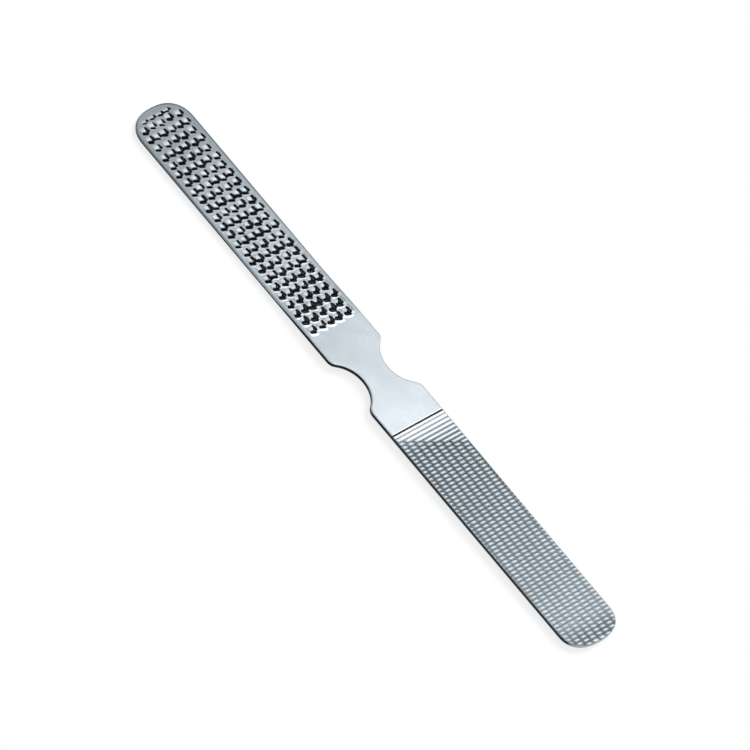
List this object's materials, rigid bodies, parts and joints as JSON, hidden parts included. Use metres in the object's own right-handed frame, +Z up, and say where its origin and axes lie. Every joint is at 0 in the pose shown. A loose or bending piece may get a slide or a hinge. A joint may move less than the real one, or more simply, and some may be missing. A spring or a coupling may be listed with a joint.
{
  "type": "nail file",
  "caption": "Flat double-ended steel nail and foot file: punched rasp at one end, waisted smooth grip, double-cut file at the other, both ends rounded.",
  "frame": {"origin": "under the middle of the bar, on its flat underside", "axes": "+X along the bar from the rasp end to the file end, +Y across the bar, +Z up out of the toothed face"},
  "size_m": [0.18, 0.018, 0.0017],
  "materials": {
    "rasp_steel": "nickel-plated steel, satin, with punched teeth",
    "grip_steel": "nickel-plated steel, satin",
    "file_steel": "nickel-plated steel, double cut"
  },
  "bodies": {
    "root": {"rasp_blade": "rasp_steel", "neck": "grip_steel", "file_blade": "file_steel"}
  },
  "joints": []
}
